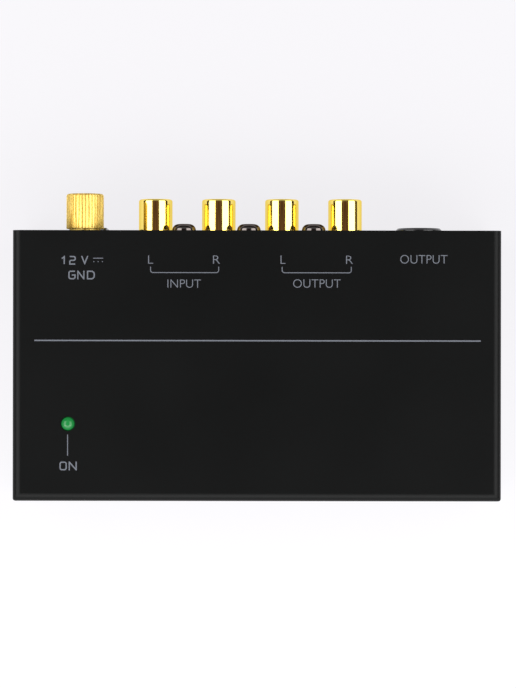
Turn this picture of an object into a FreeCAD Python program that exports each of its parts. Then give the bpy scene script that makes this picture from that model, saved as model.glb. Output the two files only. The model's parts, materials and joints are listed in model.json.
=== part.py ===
import FreeCAD, Part
import math
import os

from FreeCAD import Vector

# A compact phono preamp: a folded black steel case with every socket on its rear panel.
# Lengths are millimetres and turns are degrees. +X is to the right seen from the front,
# +Y runs to the rear panel and +Z is up. The origin is the middle of the whole footprint,
# rear sockets included, on the plane that the rubber feet stand on.

# Case: a cover (top, front and two sides) closed by a floor with an upturned rear panel
case_width = 120.0
case_depth = 66.5
case_height = 27.0
sheet = 1.0
bend_radius = 2.0
corner_radius = 0.9
panel_bend_radius = 1.5
sheet_gap = 0.2
tab_reach = 8.0
tab_width = 9.0
tab_corner_radius = 2.0
tab_from_front = 12.0
tab_from_rear = 17.0

# Rubber feet
foot_height = 2.0
foot_radius = 4.0
foot_taper = 0.5
foot_edge = 0.5
foot_from_side = 15.0
foot_from_end = 9.0

# M3 screws: three hold the socket block, four the board and four the floor
shank_radius = 1.45
tapped_gap = 0.05
clearance_gap = 0.25
pan_head_radius = 2.95
pan_head_height = 1.9
low_head_radius = 2.75
low_head_height = 1.6
crown_shoulder = 0.45
crown_flat = 0.65
panel_screw_length = 8.0
floor_screw_length = 4.0
board_screw_length = 3.6
recess_reach = 1.5
recess_width = 0.7
recess_depth = 1.0

# Circuit board on clinched standoffs
board_thickness = 1.6
board_side_gap = 9.0
board_front_gap = 4.0
board_rear_gap = 1.0
board_corner_radius = 1.5
standoff_height = 2.8
standoff_radius = 2.9
standoff_neck_radius = 2.1
standoff_inset = 6.0
standoff_bore_end = 0.3
lead_tail = 1.4
hole_gap = 0.15
seat_gap = 0.03

# Four phono sockets in one moulded block
phono_count = 4
phono_pitch = 15.77
phono_row_x = -1.7
phono_axis_height = 8.6
block_margin = 7.4
block_depth = 12.0
block_height = 15.6
block_corner_radius = 1.2
shell_radius = 4.2
shell_wall = 0.8
shell_reach = 8.2
shell_seat = 3.0
shell_seat_step = 0.2
shell_lip = 0.4
shell_hole_gap = 0.4
shell_leg_width = 1.8
shell_leg_thickness = 0.6
insulator_recess = 0.8
contact_radius = 2.05
contact_bore = 1.65
contact_bore_depth = 12.0
contact_recess = 0.3
contact_end_wall = 1.0
contact_leg_width = 1.6
contact_leg_thickness = 0.5
channel_gap = 0.35
channel_entry = 0.5
panel_screw_pitch = 16.1
panel_screw_rise = 4.2
panel_screw_shift = -0.35

# 6.35 mm stereo jack socket
jack_gap_to_block = 3.3
jack_width = 15.6
jack_height = 15.0
jack_depth = 30.0
jack_corner_radius = 0.8
jack_axis_height = 7.5
jack_nose_radius = 5.8
jack_nose_reach = 1.05
jack_nose_gap = 0.2
jack_nose_edge = 0.5
jack_bore_radius = 3.25
jack_bore_length = 10.0
jack_bore_lead_in = 0.4
jack_wall = 1.5
spring_thickness = 0.4
spring_width = 3.0
spring_root_radius = 0.6
spring_root_gap = 0.3
spring_dip = 0.65
spring_bump_run = 1.6
spring_bump_rise = 0.7
spring_bend_radius = 0.5
jack_spring_length = 9.5
sleeve_contact_depth = 14.0
ring_contact_depth = 21.0
tip_contact_depth = 27.0
terminal_width = 1.2
terminal_thickness = 0.5
terminal_seat = 1.0

# Direct-current inlet for a 5.5 mm plug with a 2.1 mm pin
inlet_gap_to_block = 4.8
inlet_width = 9.0
inlet_height = 11.0
inlet_depth = 14.4
inlet_reach = 1.05
inlet_panel_gap = 0.25
inlet_axis_height = 6.5
inlet_corner_radius = 2.0
inlet_front_length = 4.5
inlet_rear_step = 0.7
inlet_hole_radius = 3.1
inlet_hole_depth = 9.8
inlet_pin_radius = 1.05
inlet_pin_setback = 1.0
inlet_pin_shank_step = 0.2
inlet_strip_thickness = 0.5
inlet_strip_width = 2.0
inlet_spring_length = 6.0
inlet_spring_width = 2.4
inlet_slot_gap = 0.3

# Ground terminal: a square-necked stud, a plain washer and a knurled thumb nut
ground_shift = -0.45
ground_gap_to_inlet = 0.6
stud_radius = 2.0
stud_end_recess = 0.5
stud_head_radius = 3.6
stud_head_height = 1.6
stud_head_chamfer = 0.5
stud_end_chamfer = 0.5
stud_neck = 4.2
stud_neck_gap = 0.1
thread_fit = 0.05
washer_radius = 3.9
washer_thickness = 0.5
nut_radius = 4.6
nut_length = 8.6
nut_ribs = 36
nut_rib_depth = 0.28
nut_chamfer = 0.4
nut_mouth_radius = 2.7
nut_mouth_depth = 0.5
tag_thickness = 0.5
tag_width = 2.5
tag_foot_length = 4.0
tag_bend_radius = 0.8

# Power lamp: a 3 mm green light-emitting diode on a tall spacer
lamp_from_side = 13.65
lamp_from_front = 19.0
lamp_radius = 1.6
lamp_dome_radius = 1.5
lamp_flange_radius = 1.95
lamp_flange_height = 1.0
lamp_length = 4.9
lamp_stand_out = 0.9
lamp_hole_gap = 0.2
lamp_spacer_radius = 2.4
lamp_lead_pitch = 2.54
lamp_lead_size = 0.5
lamp_lead_entry = 2.5

# Surface-soldered parts on the board, in rows counted forward from the socket block
row_gap = 1.2
big_can_count = 2
big_can_radius = 4.0
big_can_height = 10.5
small_can_count = 4
small_can_radius = 2.5
small_can_height = 5.8
can_base_height = 1.0
can_groove_depth = 0.35
can_groove_height = 2.2
can_groove_half = 0.5
can_rim = 0.4
film_cap_count = 4
film_cap_length = 7.2
film_cap_width = 6.0
film_cap_height = 4.0
film_cap_end = 0.8
film_cap_edge = 0.15
amp_count = 2
amp_length = 4.9
amp_width = 3.9
amp_height = 1.5
amp_lift = 0.2
amp_taper = 0.3
amp_legs_a_side = 4
amp_leg_pitch = 1.27
amp_leg_span = 6.0
amp_foot = 0.6
amp_leg_width = 0.42
amp_leg_thickness = 0.25
chip_length = 2.0
chip_width = 1.25
chip_height = 0.6
chip_columns = 8
chip_rows = 2
chip_step = 3.2
regulator_length = 6.5
regulator_width = 3.5
regulator_height = 1.7
regulator_tab_width = 3.0
regulator_leads = 3
regulator_lead_pitch = 2.3
regulator_lead_width = 0.7
regulator_lead_reach = 1.75
regulator_lead_thickness = 0.3
diode_length = 4.3
diode_width = 2.6
diode_height = 2.2
diode_taper = 0.3
choke_radius = 3.0
choke_waist = 2.2
choke_height = 4.2
choke_rim = 0.9

# Levels that several pieces share
case_under = foot_height
case_top = case_under + case_height
floor_top = case_under + sheet
roof_under = case_top - sheet
board_under = floor_top + standoff_height
board_top = board_under + board_thickness
lead_bottom = board_under - lead_tail
tapped_radius = shank_radius + tapped_gap
clearance_radius = shank_radius + clearance_gap

# Faces of the case and the board
half_width = case_width / 2
inner_half_width = half_width - sheet
ground_reach = washer_thickness + nut_length
overall_depth = case_depth + ground_reach
front_y = -overall_depth / 2
panel_out = front_y + case_depth
panel_in = panel_out - sheet
board_half_width = inner_half_width - board_side_gap
board_front = front_y + sheet + board_front_gap
board_rear = panel_in - board_rear_gap


def spread(middle, count, step):
    """Evenly stepped places about a middle."""
    return [middle + (i - (count - 1) / 2) * step for i in range(count)]


# Phono sockets
phono_z = board_top + phono_axis_height
phono_xs = spread(phono_row_x, phono_count, phono_pitch)
phono_end = panel_out + shell_reach
shell_back = panel_in - shell_seat
shell_inner = shell_radius - shell_wall
shell_seat_radius = shell_radius - shell_seat_step
insulator_end = phono_end - insulator_recess
contact_end = insulator_end - contact_recess
contact_back = contact_end - contact_bore_depth - contact_end_wall
contact_leg_back = contact_back - contact_leg_thickness
channel_half = contact_radius + channel_gap
channel_front = contact_back + channel_entry
block_left = phono_xs[0] - block_margin
block_right = phono_xs[-1] + block_margin
block_back = panel_in - block_depth
block_top = board_top + block_height
panel_screw_xs = spread(phono_row_x + panel_screw_shift, phono_count - 1, panel_screw_pitch)
panel_screw_z = phono_z + panel_screw_rise

# Stereo jack socket
jack_x = block_right + jack_gap_to_block + jack_width / 2
jack_z = board_top + jack_axis_height
jack_end = panel_out + jack_nose_reach
jack_back = panel_in - jack_depth
chamber_front = jack_end - jack_bore_length
chamber_back = jack_back + jack_wall
chamber_half = jack_width / 2 - jack_wall
chamber_bottom = board_top + jack_wall
chamber_top = board_top + jack_height - jack_wall
spring_inset = spring_root_radius + spring_root_gap
side_spring_reach = chamber_half - spring_inset
top_spring_reach = chamber_top - jack_z - spring_inset
spring_rest = jack_bore_radius - spring_dip
sleeve_spring_root = jack_end - sleeve_contact_depth - jack_spring_length
ring_spring_root = jack_end - ring_contact_depth + jack_spring_length
tip_spring_root = jack_end - tip_contact_depth + jack_spring_length

# Power inlet
inlet_x = block_left - inlet_gap_to_block - inlet_width / 2
inlet_z = board_top + inlet_axis_height
inlet_top = board_top + inlet_height
inlet_end = panel_out + inlet_reach
inlet_back = inlet_end - inlet_depth
inlet_hole_end = inlet_end - inlet_hole_depth
inlet_pin_shank = inlet_pin_radius - inlet_pin_shank_step
inlet_slot_half = inlet_spring_width / 2 + inlet_slot_gap
inlet_spring_root_y = inlet_hole_end + spring_inset
inlet_spring_root_z = board_top + 2 * spring_inset
inlet_spring_reach = inlet_z - inlet_spring_root_z
inlet_spring_rest = inlet_hole_radius - spring_dip

# Ground terminal
ground_x = inlet_x + ground_shift
ground_z = inlet_top + ground_gap_to_inlet + nut_radius
nut_start = panel_out + washer_thickness
nut_end = nut_start + nut_length
neck_hole = stud_neck + 2 * stud_neck_gap
stud_head_face = panel_in - tag_thickness
tag_leg_x = block_left - inlet_gap_to_block / 2

# Power lamp
lamp_x = -half_width + lamp_from_side
lamp_y = front_y + lamp_from_front
lamp_top = case_top + lamp_stand_out
lamp_base = lamp_top - lamp_length
lamp_lead_xs = spread(lamp_x, 2, lamp_lead_pitch)

# Fixing places, as (x, y)
tab_x = inner_half_width - tab_reach / 2
foot_x = half_width - foot_from_side
floor_screw_places = [
    (side * tab_x, y)
    for side in (-1, 1)
    for y in (front_y + tab_from_front, panel_out - tab_from_rear)
]
foot_places = [
    (side * foot_x, y)
    for side in (-1, 1)
    for y in (front_y + foot_from_end, panel_out - foot_from_end)
]
standoff_places = [
    (-board_half_width + standoff_inset, board_front + standoff_inset),
    (board_half_width - standoff_inset, board_front + standoff_inset),
    (-board_half_width + standoff_inset, block_back - standoff_inset),
    (jack_x - jack_width / 2 - standoff_inset, block_back - standoff_inset),
]

# Rows of parts on the board
can_row_y = block_back - row_gap - big_can_radius
film_cap_row_y = can_row_y - big_can_radius - row_gap - film_cap_width / 2
amp_row_y = film_cap_row_y - film_cap_width / 2 - row_gap - amp_leg_span / 2
chip_row_y = amp_row_y - amp_leg_span / 2 - row_gap - chip_length / 2
big_can_step = 2 * big_can_radius + row_gap
big_can_xs = [block_left + big_can_radius + i * big_can_step for i in range(big_can_count)]
small_can_start = big_can_xs[-1] + big_can_radius + row_gap + small_can_radius
small_can_step = 2 * small_can_radius + row_gap
small_can_xs = [small_can_start + i * small_can_step for i in range(small_can_count)]
film_cap_xs = spread(phono_row_x, film_cap_count, film_cap_length + row_gap)
amp_xs = spread(phono_row_x, amp_count, 2 * amp_length + 4 * row_gap)
chip_xs = spread(phono_row_x, chip_columns, chip_step)
supply_x = film_cap_xs[0] - film_cap_length / 2 - 2 * row_gap - regulator_length / 2

PLANES = {
    "xy": (lambda u, v: Vector(u, v, 0), Vector(0, 0, 1)),
    "xz": (lambda u, v: Vector(u, 0, v), Vector(0, 1, 0)),
    "yz": (lambda u, v: Vector(0, u, v), Vector(1, 0, 0)),
}
LATHES = {
    "y": (lambda radius, along: Vector(radius, along, 0), Vector(0, 1, 0)),
    "z": (lambda radius, along: Vector(radius, 0, along), Vector(0, 0, 1)),
}


def block(x0, x1, y0, y1, z0, z1):
    """Box between two corners."""
    return Part.makeBox(x1 - x0, y1 - y0, z1 - z0, Vector(x0, y0, z0))


def rod_y(x, z, radius, y0, y1):
    """Round bar along Y."""
    return Part.makeCylinder(radius, y1 - y0, Vector(x, y0, z), Vector(0, 1, 0))


def rod_z(x, y, radius, z0, z1):
    """Round bar along Z."""
    return Part.makeCylinder(radius, z1 - z0, Vector(x, y, z0), Vector(0, 0, 1))


def outline(corners, place):
    """Closed wire through corners (u, v) or (u, v, radius) set in space by place, with tangent arcs."""
    points = [place(corner[0], corner[1]) for corner in corners]
    radii = [corner[2] if len(corner) > 2 else 0 for corner in corners]
    stations = []
    for i, here in enumerate(points):
        if radii[i] <= 0:
            stations.append((here, None, here))
            continue
        back = (points[i - 1] - here).normalize()
        ahead = (points[(i + 1) % len(points)] - here).normalize()
        half = back.getAngle(ahead) / 2
        bisector = (back + ahead).normalize()
        tangent = radii[i] / math.tan(half)
        middle = here + bisector * (radii[i] / math.sin(half) - radii[i])
        stations.append((here + back * tangent, middle, here + ahead * tangent))
    edges = []
    for i, (start, middle, end) in enumerate(stations):
        if middle is not None:
            edges.append(Part.Arc(start, middle, end).toShape())
        following = stations[(i + 1) % len(points)][0]
        if end.distanceToPoint(following) > 1e-6:
            edges.append(Part.LineSegment(end, following).toShape())
    return Part.Wire(edges)


def plate(corners, plane, low, high):
    """Outline in a plane, extruded from low to high across it."""
    place, normal = PLANES[plane]
    face = Part.Face(outline(corners, place))
    face.translate(normal * low)
    return face.extrude(normal * (high - low))


def turned(corners, along, x, y, z):
    """Lathe-turned solid: corners (radius, distance, rounding) swept round an axis through (x, y, z)."""
    place, axis = LATHES[along]
    solid = Part.Face(outline(corners, place)).revolve(Vector(0, 0, 0), axis, 360)
    solid.translate(Vector(x, y, z))
    return solid


def rectangle(u0, u1, v0, v1, radius=0):
    """Corners of a rectangle with equal rounding."""
    return [(u0, v0, radius), (u1, v0, radius), (u1, v1, radius), (u0, v1, radius)]


def joined(shapes):
    """One solid from touching shapes."""
    return shapes[0].fuse(shapes[1:]).removeSplitter()


def without(shape, tools):
    """A shape with every tool cut away."""
    return shape.cut(Part.makeCompound(tools))


def screw(head_radius, head_height, length):
    """Cross-recess screw standing on its thread end, with its head above z = 0."""
    solid = turned(
        [
            (0, -length),
            (shank_radius, -length),
            (shank_radius, 0),
            (head_radius, 0),
            (head_radius, crown_shoulder * head_height),
            (crown_flat * head_radius, head_height),
            (0, head_height),
        ],
        "z", 0, 0, 0,
    )
    bottom = head_height - recess_depth
    top = head_height + recess_depth
    half = recess_width / 2
    slots = [
        block(-recess_reach, recess_reach, -half, half, bottom, top),
        block(-half, half, -recess_reach, recess_reach, bottom, top),
    ]
    return without(solid, slots)


def tilted(solid, degrees, x, y, z):
    """A solid turned about the X direction and moved to its place."""
    copy = solid.copy()
    copy.rotate(Vector(0, 0, 0), Vector(1, 0, 0), degrees)
    copy.translate(Vector(x, y, z))
    return copy


def folded_shell(inset, rear):
    """The case's outer form drawn in by inset: three extrusions whose common part has folded corners."""
    left = -half_width + inset
    right = half_width - inset
    front = front_y + inset
    bottom = case_under - inset
    top = case_top - inset
    bend = bend_radius - inset
    corner = max(corner_radius - inset, 0)
    end_view = [(left, bottom), (right, bottom), (right, top, bend), (left, top, bend)]
    side_view = [(front, bottom), (rear, bottom), (rear, top), (front, top, bend)]
    plan = [(left, front, corner), (right, front, corner), (right, rear), (left, rear)]
    across = plate(end_view, "xz", front, rear)
    along = plate(side_view, "yz", left, right)
    return across.common(along).common(plate(plan, "xy", bottom, top))


def top_cover():
    """Top, front and sides folded from one sheet, with inturned tapped tabs along the lower edges."""
    shell = folded_shell(0, panel_out).cut(folded_shell(sheet, panel_out + sheet))
    tabs = []
    for x, y in floor_screw_places:
        side = math.copysign(1, x)
        wall = side * (inner_half_width + sheet / 2)
        tip = side * (inner_half_width - tab_reach)
        corners = [
            (wall, y - tab_width / 2),
            (wall, y + tab_width / 2),
            (tip, y + tab_width / 2, tab_corner_radius),
            (tip, y - tab_width / 2, tab_corner_radius),
        ]
        tabs.append(plate(corners, "xy", floor_top, floor_top + sheet))
    holes = [rod_z(x, y, tapped_radius, case_under, floor_top + 2 * sheet) for x, y in floor_screw_places]
    holes.append(rod_z(lamp_x, lamp_y, lamp_radius + lamp_hole_gap, roof_under - sheet, case_top + sheet))
    return without(joined([shell] + tabs), holes)


def base_chassis():
    """Floor and rear panel folded from one sheet, with every socket hole."""
    front = front_y + sheet + sheet_gap
    side = inner_half_width - sheet_gap
    top = roof_under - sheet_gap
    profile = [
        (front, case_under),
        (panel_out, case_under, panel_bend_radius),
        (panel_out, top),
        (panel_in, top),
        (panel_in, floor_top, panel_bend_radius - sheet),
        (front, floor_top),
    ]
    folded = plate(profile, "yz", -side, side)
    top_corner = bend_radius - sheet - sheet_gap
    trim = [(-side, case_under), (side, case_under), (side, top, top_corner), (-side, top, top_corner)]
    folded = folded.common(plate(trim, "xz", front, panel_out))
    near = panel_in - sheet
    far = panel_out + sheet
    inlet_hole = rectangle(
        inlet_x - inlet_width / 2 - inlet_panel_gap,
        inlet_x + inlet_width / 2 + inlet_panel_gap,
        board_top - inlet_panel_gap,
        inlet_top + inlet_panel_gap,
        inlet_panel_gap,
    )
    neck = neck_hole / 2
    holes = [rod_y(x, phono_z, shell_seat_radius + shell_hole_gap, near, far) for x in phono_xs]
    holes += [rod_y(x, panel_screw_z, clearance_radius, near, far) for x in panel_screw_xs]
    holes.append(rod_y(jack_x, jack_z, jack_nose_radius + jack_nose_gap, near, far))
    holes.append(plate(inlet_hole, "xz", near, far))
    holes.append(block(ground_x - neck, ground_x + neck, near, far, ground_z - neck, ground_z + neck))
    under = case_under - sheet
    over = floor_top + sheet
    holes += [rod_z(x, y, clearance_radius, under, over) for x, y in floor_screw_places]
    holes += [rod_z(x, y, standoff_neck_radius + seat_gap, under, over) for x, y in standoff_places]
    return without(folded, holes)


def rubber_feet():
    """Four stick-on feet, slightly tapered to the ground."""
    profile = [
        (0, 0),
        (foot_radius - foot_taper - foot_edge, 0),
        (foot_radius - foot_taper, foot_edge),
        (foot_radius, foot_height),
        (0, foot_height),
    ]
    return [turned(profile, "z", x, y, 0) for x, y in foot_places]


def floor_screws():
    """Four screws up through the floor into the cover's tabs."""
    one = screw(low_head_radius, low_head_height, floor_screw_length)
    return [tilted(one, 180, x, y, case_under) for x, y in floor_screw_places]


def panel_screws():
    """Three screws through the rear panel into the socket block."""
    one = screw(pan_head_radius, pan_head_height, panel_screw_length)
    return [tilted(one, -90, x, panel_out, panel_screw_z) for x in panel_screw_xs]


def board_standoffs():
    """Four tapped hexagonal posts clinched into the floor."""
    posts = []
    for x, y in standoff_places:
        turns = [math.radians(60 * i) for i in range(6)]
        corners = [(x + standoff_radius * math.cos(a), y + standoff_radius * math.sin(a)) for a in turns]
        body = plate(corners, "xy", floor_top, board_under)
        neck = rod_z(x, y, standoff_neck_radius, case_under, floor_top)
        bore = rod_z(x, y, tapped_radius, case_under + standoff_bore_end, board_under)
        posts.append(joined([body, neck]).cut(bore))
    return posts


def board_screws():
    """Four screws down through the board into the standoffs."""
    one = screw(low_head_radius, low_head_height, board_screw_length)
    return [tilted(one, 0, x, y, board_top) for x, y in standoff_places]


def jack_terminal_places():
    """Where the jack's three terminals go through the board."""
    side = chamber_half - spring_inset
    return [
        (jack_x + side, sleeve_spring_root),
        (jack_x, ring_spring_root),
        (jack_x - side, tip_spring_root),
    ]


def inlet_terminal_places():
    """Where the inlet's spring and switch terminals go through the board."""
    side = inlet_slot_half + terminal_width
    middle = (inlet_back + inlet_hole_end) / 2
    return [(inlet_x - side, middle), (inlet_x + side, middle)]


def terminal(x, y, gap, bottom):
    """Flat terminal through the board, or with a gap the room that it takes."""
    half = terminal_width / 2 + gap
    depth = terminal_thickness / 2 + gap
    return block(x - half, x + half, y - depth, y + depth, bottom, board_top + terminal_seat)


def contact_strip(x, gap, bottom, top):
    """Flat leg behind a centre contact, or with a gap the slot for it."""
    half = contact_leg_width / 2 + gap
    return block(x - half, x + half, contact_leg_back - gap, contact_back + gap, bottom, top)


def shell_strip(x, gap, bottom, top):
    """Flat leg under a shell's rear end, or with a gap the slot for it."""
    half = shell_leg_width / 2 + gap
    return block(x - half, x + half, shell_back, shell_back + shell_leg_thickness + gap, bottom, top)


def inlet_tail(gap, bottom):
    """Narrow end of the inlet's pin strip, or with a gap the slot for it."""
    half = terminal_width / 2 + gap
    front = inlet_back + inlet_strip_thickness + gap
    return block(inlet_x - half, inlet_x + half, inlet_back - gap, front, bottom, board_top + terminal_seat)


def lamp_lead(x, gap, bottom, top):
    """Square lead of the lamp, or with a gap the hole for it."""
    half = lamp_lead_size / 2 + gap
    return block(x - half, x + half, lamp_y - half, lamp_y + half, bottom, top)


def circuit_board():
    """Glass-fibre board cut for its screws and for every leg that goes through it."""
    corners = rectangle(-board_half_width, board_half_width, board_front, board_rear, board_corner_radius)
    board = plate(corners, "xy", board_under, board_top)
    under = board_under - 1
    over = board_top + 1
    cuts = [rod_z(x, y, clearance_radius, under, over) for x, y in standoff_places]
    cuts += [contact_strip(x, hole_gap, under, over) for x in phono_xs]
    cuts += [shell_strip(x, hole_gap, under, over) for x in phono_xs]
    cuts += [terminal(x, y, hole_gap, under) for x, y in jack_terminal_places() + inlet_terminal_places()]
    cuts.append(inlet_tail(hole_gap, under))
    cuts += [lamp_lead(x, hole_gap, under, over) for x in lamp_lead_xs]
    return without(board, cuts)


def phono_socket_block():
    """Moulded block: a seat for each shell, a rear channel for each contact leg and screw bores."""
    corners = rectangle(block_left, block_right, board_top, block_top, block_corner_radius)
    body = plate(corners, "xz", block_back, panel_in)
    cuts = []
    for x in phono_xs:
        cuts.append(rod_y(x, phono_z, shell_seat_radius + seat_gap, shell_back, panel_out))
        cuts.append(rod_y(x, phono_z, contact_radius + seat_gap, contact_back, panel_out))
        cuts.append(shell_strip(x, hole_gap, board_under, phono_z))
        left = x - channel_half
        right = x + channel_half
        channel_top = phono_z + channel_half
        cuts.append(block(left, right, block_back - sheet, channel_front, board_under, channel_top))
    cuts += [
        rod_y(x, panel_screw_z, tapped_radius, panel_out - panel_screw_length - tapped_radius, panel_out)
        for x in panel_screw_xs
    ]
    return without(body, cuts)


def phono_shells():
    """Four plated barrels, each with its ground leg to the board."""
    profile = [
        (shell_inner, shell_back),
        (shell_seat_radius, shell_back),
        (shell_seat_radius, panel_out),
        (shell_radius, panel_out),
        (shell_radius, phono_end - shell_lip),
        (shell_radius - shell_lip / 2, phono_end),
        (shell_inner, phono_end),
    ]
    shells = []
    for x in phono_xs:
        barrel = turned(profile, "y", x, 0, phono_z)
        leg = shell_strip(x, 0, lead_bottom, phono_z - shell_inner)
        bore = rod_y(x, phono_z, shell_inner, shell_back, phono_end)
        shells.append(joined([barrel, leg.cut(bore)]))
    return shells


def phono_insulators(xs):
    """Coloured rings that hold the centre contacts in the barrels."""
    outer = shell_inner - seat_gap
    inner = contact_radius + seat_gap
    profile = [
        (inner, shell_back),
        (outer, shell_back),
        (outer, insulator_end),
        (inner, insulator_end),
    ]
    return [turned(profile, "y", x, 0, phono_z) for x in xs]


def phono_contacts():
    """Centre sockets, each closed at the back by the flat leg that runs down to the board."""
    bore_end = contact_back + contact_end_wall
    lip = (contact_radius - contact_bore) / 2
    profile = [
        (0, contact_back),
        (contact_radius, contact_back),
        (contact_radius, contact_end),
        (contact_bore + lip, contact_end),
        (contact_bore, contact_end - lip),
        (contact_bore, bore_end),
        (0, bore_end),
    ]
    top = phono_z + contact_leg_width / 2
    return [
        joined([turned(profile, "y", x, 0, phono_z), contact_strip(x, 0, lead_bottom, top)])
        for x in phono_xs
    ]


def output_jack_housing():
    """Moulded jack body: a round nose with the plug bore, and a hollow chamber for the springs."""
    half = jack_width / 2
    corners = rectangle(jack_x - half, jack_x + half, board_top, board_top + jack_height, jack_corner_radius)
    body = plate(corners, "xz", jack_back, panel_in)
    nose_profile = [
        (0, chamber_front),
        (jack_nose_radius, chamber_front),
        (jack_nose_radius, jack_end - jack_nose_edge),
        (jack_nose_radius - jack_nose_edge, jack_end),
        (0, jack_end),
    ]
    nose = turned(nose_profile, "y", jack_x, 0, jack_z)
    lead_in_radius = jack_bore_radius + jack_bore_lead_in
    bore_profile = [
        (0, chamber_back),
        (jack_bore_radius, chamber_back),
        (jack_bore_radius, jack_end - jack_bore_lead_in),
        (lead_in_radius, jack_end),
        (lead_in_radius, jack_end + 1),
        (0, jack_end + 1),
    ]
    chamber = block(
        jack_x - chamber_half, jack_x + chamber_half, chamber_back, chamber_front, chamber_bottom, chamber_top
    )
    pins = [terminal(x, y, seat_gap, board_under) for x, y in jack_terminal_places()]
    return without(joined([body, nose]), [turned(bore_profile, "y", jack_x, 0, jack_z), chamber] + pins)


def leaf_spring(length, root_reach, rest, width):
    """Contact leaf in the XY plane: an eye at the origin, a blade along +Y and a bump towards -X.

    The eye lies root_reach from the plug's axis, and the bump's tip lies rest from it.
    """
    half = spring_thickness / 2
    tip = rest - root_reach
    shoulder = tip + spring_bump_rise
    centre = [
        (0, 0),
        (shoulder, length - spring_bump_run),
        (tip + half, length),
        (shoulder, length + spring_bump_run),
    ]
    near = []
    far = []
    for i, (x, y) in enumerate(centre):
        before = Vector(*centre[max(i - 1, 0)], 0)
        here = Vector(x, y, 0)
        after = Vector(*centre[min(i + 1, len(centre) - 1)], 0)
        inward = (here - before) if i else (after - here)
        outward = (after - here) if i < len(centre) - 1 else inward
        first = Vector(-inward.y, inward.x, 0).normalize()
        second = Vector(-outward.y, outward.x, 0).normalize()
        mitre = (first + second).normalize()
        step = mitre * (half / mitre.dot(first))
        bend = spring_bend_radius if 0 < i < len(centre) - 1 else 0
        near.append((x + step.x, y + step.y, bend))
        far.append((x - step.x, y - step.y, bend))
    blade = plate(near + far[::-1], "xy", -width / 2, width / 2)
    eye = rod_z(0, 0, spring_root_radius, -width / 2, width / 2)
    return joined([blade, eye])


def placed_spring(spring, turns, x, y, z):
    """A leaf spring turned by (axis, degrees) steps and moved to its root."""
    copy = spring.copy()
    for axis, degrees in turns:
        copy.rotate(Vector(0, 0, 0), axis, degrees)
    copy.translate(Vector(x, y, z))
    return copy


def jack_sleeve_spring():
    """Right-hand leaf, rooted behind its contact."""
    spring = leaf_spring(jack_spring_length, side_spring_reach, spring_rest, spring_width)
    return placed_spring(spring, [], jack_x + side_spring_reach, sleeve_spring_root, jack_z)


def jack_ring_spring():
    """Upper leaf, rooted in front of its contact."""
    spring = leaf_spring(jack_spring_length, top_spring_reach, spring_rest, spring_width)
    turns = [(Vector(0, 1, 0), -90), (Vector(0, 0, 1), 180)]
    return placed_spring(spring, turns, jack_x, ring_spring_root, jack_z + top_spring_reach)


def jack_tip_spring():
    """Left-hand leaf, rooted in front of its contact."""
    spring = leaf_spring(jack_spring_length, side_spring_reach, spring_rest, spring_width)
    turns = [(Vector(0, 0, 1), 180)]
    return placed_spring(spring, turns, jack_x - side_spring_reach, tip_spring_root, jack_z)


def jack_terminals():
    """Three flat legs from the jack's floor through the board."""
    return [terminal(x, y, 0, lead_bottom) for x, y in jack_terminal_places()]


def power_inlet_housing():
    """Moulded inlet: a full-height front, a stepped rear, a round plug hole and a slot under it."""
    left = inlet_x - inlet_width / 2
    right = inlet_x + inlet_width / 2
    step_y = inlet_end - inlet_front_length
    front = [(left, board_top), (right, board_top), (right, inlet_top, inlet_corner_radius)]
    front.append((left, inlet_top, inlet_corner_radius))
    low = inlet_top - inlet_rear_step
    rear = [(left + inlet_rear_step, board_top), (right - inlet_rear_step, board_top)]
    rear.append((right - inlet_rear_step, low, inlet_corner_radius))
    rear.append((left + inlet_rear_step, low, inlet_corner_radius))
    body = joined([plate(front, "xz", step_y, inlet_end), plate(rear, "xz", inlet_back, step_y)])
    cuts = [
        rod_y(inlet_x, inlet_z, inlet_hole_radius, inlet_hole_end, inlet_end + 1),
        rod_y(inlet_x, inlet_z, inlet_pin_shank + seat_gap, inlet_back, inlet_end),
    ]
    slot_end = inlet_spring_root_y + inlet_spring_length + 2 * spring_bump_run
    cuts.append(
        block(
            inlet_x - inlet_slot_half, inlet_x + inlet_slot_half, inlet_hole_end, slot_end,
            board_top + spring_root_gap, inlet_z,
        )
    )
    strip_half = inlet_strip_width / 2 + seat_gap
    cuts.append(
        block(
            inlet_x - strip_half, inlet_x + strip_half, inlet_back - 1,
            inlet_back + inlet_strip_thickness + seat_gap, board_under, inlet_z + inlet_strip_width,
        )
    )
    cuts += [terminal(x, y, seat_gap, board_under) for x, y in inlet_terminal_places()]
    return without(body, cuts)


def power_inlet_pin():
    """Centre pin riveted to a flat strip that ends in a narrow tail through the board."""
    strip_front = inlet_back + inlet_strip_thickness
    tip = inlet_end - inlet_pin_setback
    profile = [
        (0, inlet_back),
        (inlet_pin_shank, inlet_back),
        (inlet_pin_shank, inlet_hole_end),
        (inlet_pin_radius, inlet_hole_end),
        (inlet_pin_radius, tip - inlet_pin_radius / 2),
        (inlet_pin_radius / 2, tip),
        (0, tip),
    ]
    pin = turned(profile, "y", inlet_x, 0, inlet_z)
    half = inlet_strip_width / 2
    corners = [
        (inlet_x - half, board_top),
        (inlet_x + half, board_top),
        (inlet_x + half, inlet_z + inlet_strip_width - seat_gap, half / 2),
        (inlet_x - half, inlet_z + inlet_strip_width - seat_gap, half / 2),
    ]
    strip = plate(corners, "xz", inlet_back, strip_front)
    return joined([pin, strip, inlet_tail(0, lead_bottom)])


def power_inlet_spring():
    """Leaf under the plug's barrel, rooted at the back of its slot."""
    spring = leaf_spring(inlet_spring_length, inlet_spring_reach, inlet_spring_rest, inlet_spring_width)
    return placed_spring(spring, [(Vector(0, 1, 0), 90)], inlet_x, inlet_spring_root_y, inlet_spring_root_z)


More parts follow.
